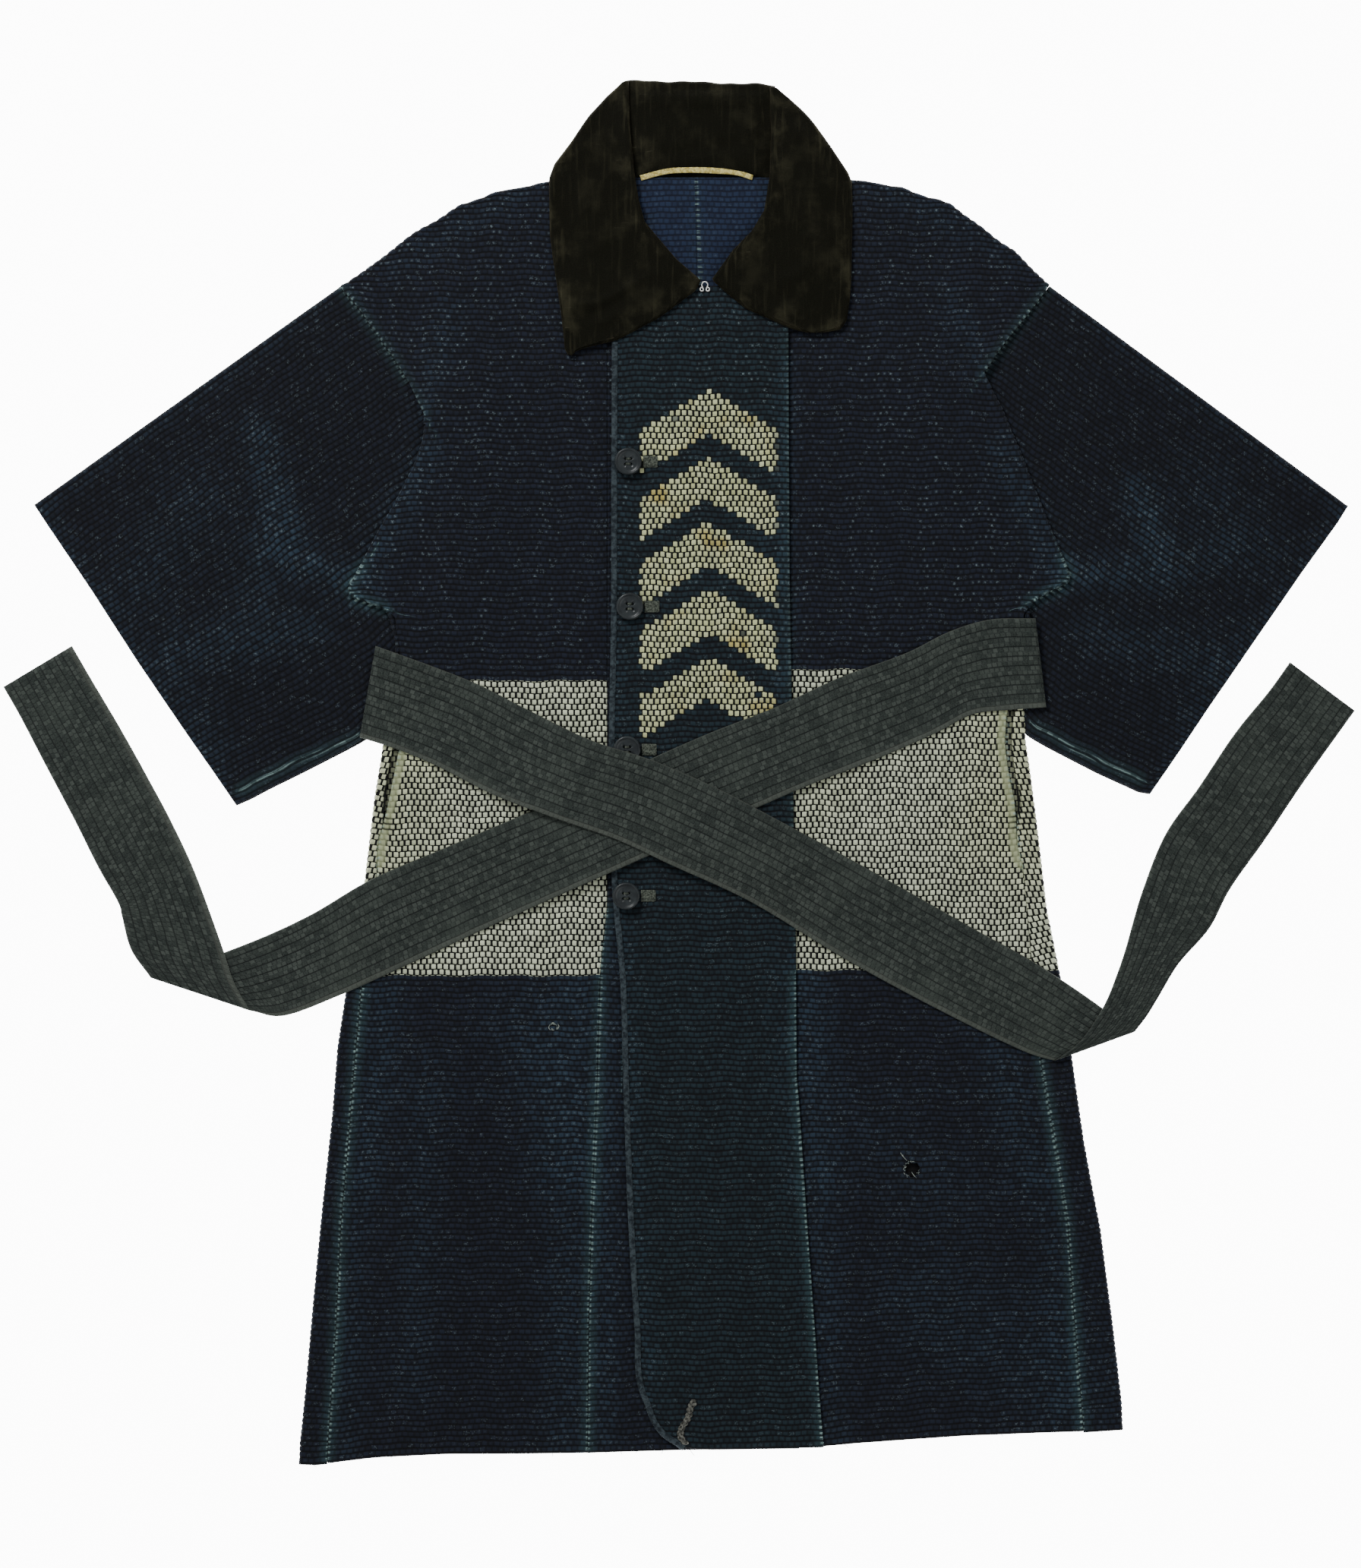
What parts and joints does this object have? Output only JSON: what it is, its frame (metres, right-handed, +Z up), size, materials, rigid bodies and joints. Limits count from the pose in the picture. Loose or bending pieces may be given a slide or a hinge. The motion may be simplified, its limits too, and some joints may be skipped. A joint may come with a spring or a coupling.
{
  "type": "japanese fireman coat",
  "caption": "Knee-length ribbed cotton work coat with a velvet collar and a stitched belt crossed in front, laid flat with its front up.",
  "frame": {"origin": "on the surface that the coat lies on, under the middle of its box", "axes": "+Y towards the collar, +X towards the wearer's left sleeve (the viewer's right), +Z up from the surface"},
  "size_m": [1.103, 1.13, 0.0164],
  "materials": {
    "indigo_cloth": "matte ribbed cotton, indigo, worn paler at seams and folds, with a band of white floats",
    "velvet": "dark brown cotton velvet, rubbed in places",
    "belt_cotton": "matte dark grey-green cotton with lengthwise stitching",
    "button": "satin",
    "tape": "matte woven tape",
    "edge_binding": "matte, worn paler than the cloth",
    "buttonhole_thread": "matte twisted thread",
    "steel_wire": "satin white paint"
  },
  "bodies": {
    "root": {"body_right": "indigo_cloth", "body_left": "indigo_cloth", "sleeve_right": "indigo_cloth", "sleeve_left": "indigo_cloth", "overlap_right": "indigo_cloth", "overlap_left": "indigo_cloth", "front_edge_binding": "edge_binding", "collar_back": "velvet", "collar_leaf_right": "velvet", "collar_leaf_left": "velvet", "neck_tape": "tape", "neck_eye": "steel_wire", "hem_loop": "buttonhole_thread", "belt_back": "belt_cotton", "belt_under": "belt_cotton", "belt_over": "belt_cotton", "belt_tail_right": "belt_cotton", "belt_tail_left": "belt_cotton", "button_1": "button", "buttonhole_1": "buttonhole_thread", "button_2": "button", "buttonhole_2": "buttonhole_thread", "button_3": "button", "buttonhole_3": "buttonhole_thread", "button_4": "button", "buttonhole_4": "buttonhole_thread"}
  },
  "joints": []
}
